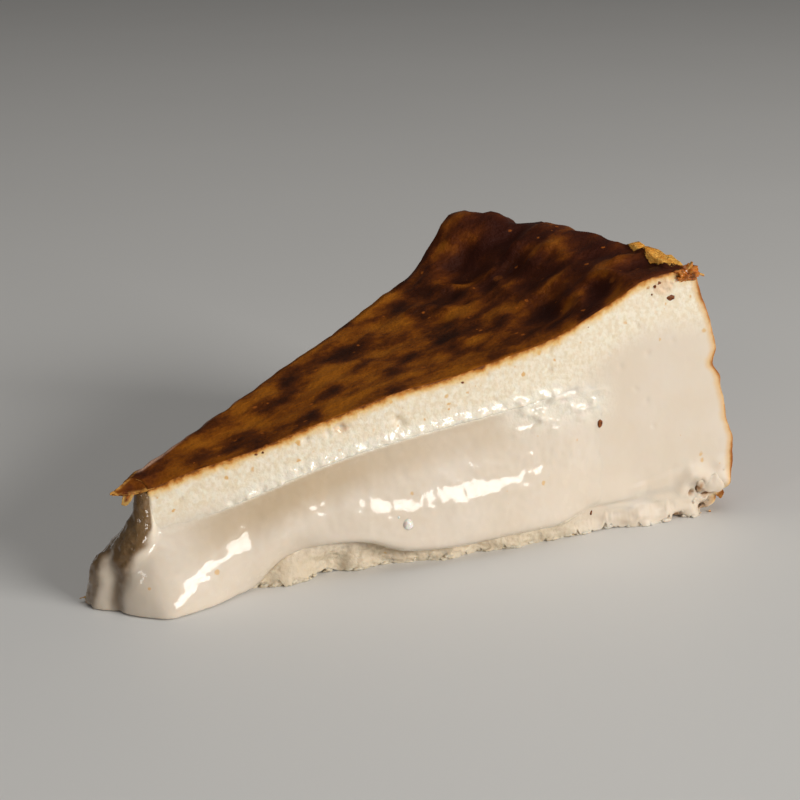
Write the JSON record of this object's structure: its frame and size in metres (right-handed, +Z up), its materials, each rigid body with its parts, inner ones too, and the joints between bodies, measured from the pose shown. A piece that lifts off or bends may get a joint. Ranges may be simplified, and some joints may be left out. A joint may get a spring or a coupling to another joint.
{
  "type": "cheesecake slice",
  "caption": "Wedge of burnt-top baked cheesecake with a browned wrinkled skin, a firm crumbly edge and a runny centre that spreads at the point.",
  "frame": {"origin": "on the flat underside, on the middle line of the slice, 60 mm from the point of the wedge", "axes": "+X along the middle of the slice from its point to its rim, +Z up, so +Y is towards the far cut face"},
  "size_m": [0.122, 0.071, 0.0511],
  "materials": {
    "baked_custard": "pale cream baked custard, grainy where cut, with a glossy caramel to near-black browned skin on the top and outer wall",
    "runny_custard": "smooth wet cream-coloured runny custard with soft highlights"
  },
  "bodies": {
    "root": {"firm_cake": "baked_custard", "runny_centre": "runny_custard"}
  },
  "joints": []
}
